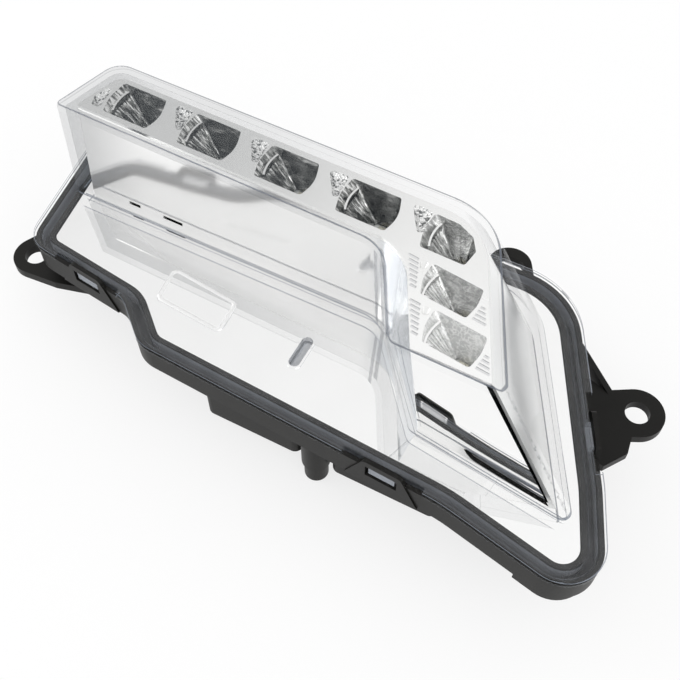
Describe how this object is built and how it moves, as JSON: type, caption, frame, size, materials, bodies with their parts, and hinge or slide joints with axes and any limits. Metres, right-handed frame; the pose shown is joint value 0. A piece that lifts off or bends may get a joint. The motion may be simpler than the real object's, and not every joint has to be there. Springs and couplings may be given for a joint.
{
  "type": "car daytime running light",
  "caption": "Car daytime running light: clear hook-shaped raised lens over a bright panel and a row of LED reflectors, black clip-on housing with screw ears and a connector socket.",
  "frame": {"origin": "on the rear cover's outer face, under the foot line of the bright riser", "axes": "+Z out of the lens, +X along the row of LEDs towards the pointed end, +Y to the long straight edge behind the raised block"},
  "size_m": [0.238, 0.1216, 0.078],
  "materials": {
    "housing_black": "moulded, fine grain",
    "lens_clear": "clear polished polycarbonate",
    "seal_black": "matt sealing compound",
    "bright_trim": "bright plated plastic",
    "reflector_bright": "bright plated plastic",
    "board_white": "white solder mask",
    "board_green": "green solder mask",
    "led_yellow": "phosphor under a clear dome",
    "sink_aluminium": "plain extruded",
    "screw_steel": "zinc plated",
    "link_copper": "tinned copper strip",
    "component_black": "moulded package",
    "coil_grey": "ferrite",
    "can_silver": "drawn can",
    "pin_brass": "tin plated",
    "socket_white": "moulded",
    "ribbon_white": "flat flexible lead",
    "vent_rubber": "matt",
    "membrane_white": "porous film"
  },
  "bodies": {
    "root": {"bezel": "bright_trim", "board_link": "link_copper", "board_screws": "screw_steel", "connector_pins": "pin_brass", "cover_screws": "screw_steel", "cover_seal": "seal_black", "driver_board": "board_green", "driver_capacitors": "can_silver", "driver_chip": "component_black", "driver_coil": "coil_grey", "driver_screws": "screw_steel", "heat_sink": "sink_aluminium", "led_board_leg": "board_white", "led_board_row": "board_white", "led_leg_1": "led_yellow", "led_leg_2": "led_yellow", "led_ribbon": "ribbon_white", "led_row_1": "led_yellow", "led_row_2": "led_yellow", "led_row_3": "led_yellow", "led_row_4": "led_yellow", "led_row_5": "led_yellow", "lens_seal": "seal_black", "outer_lens": "lens_clear", "rear_cover": "housing_black", "rear_housing": "housing_black", "reflector": "reflector_bright", "ribbon_socket_bottom": "socket_white", "ribbon_socket_top": "socket_white", "side_trim": "bright_trim", "vent_cap": "vent_rubber", "vent_membrane": "membrane_white"}
  },
  "joints": []
}
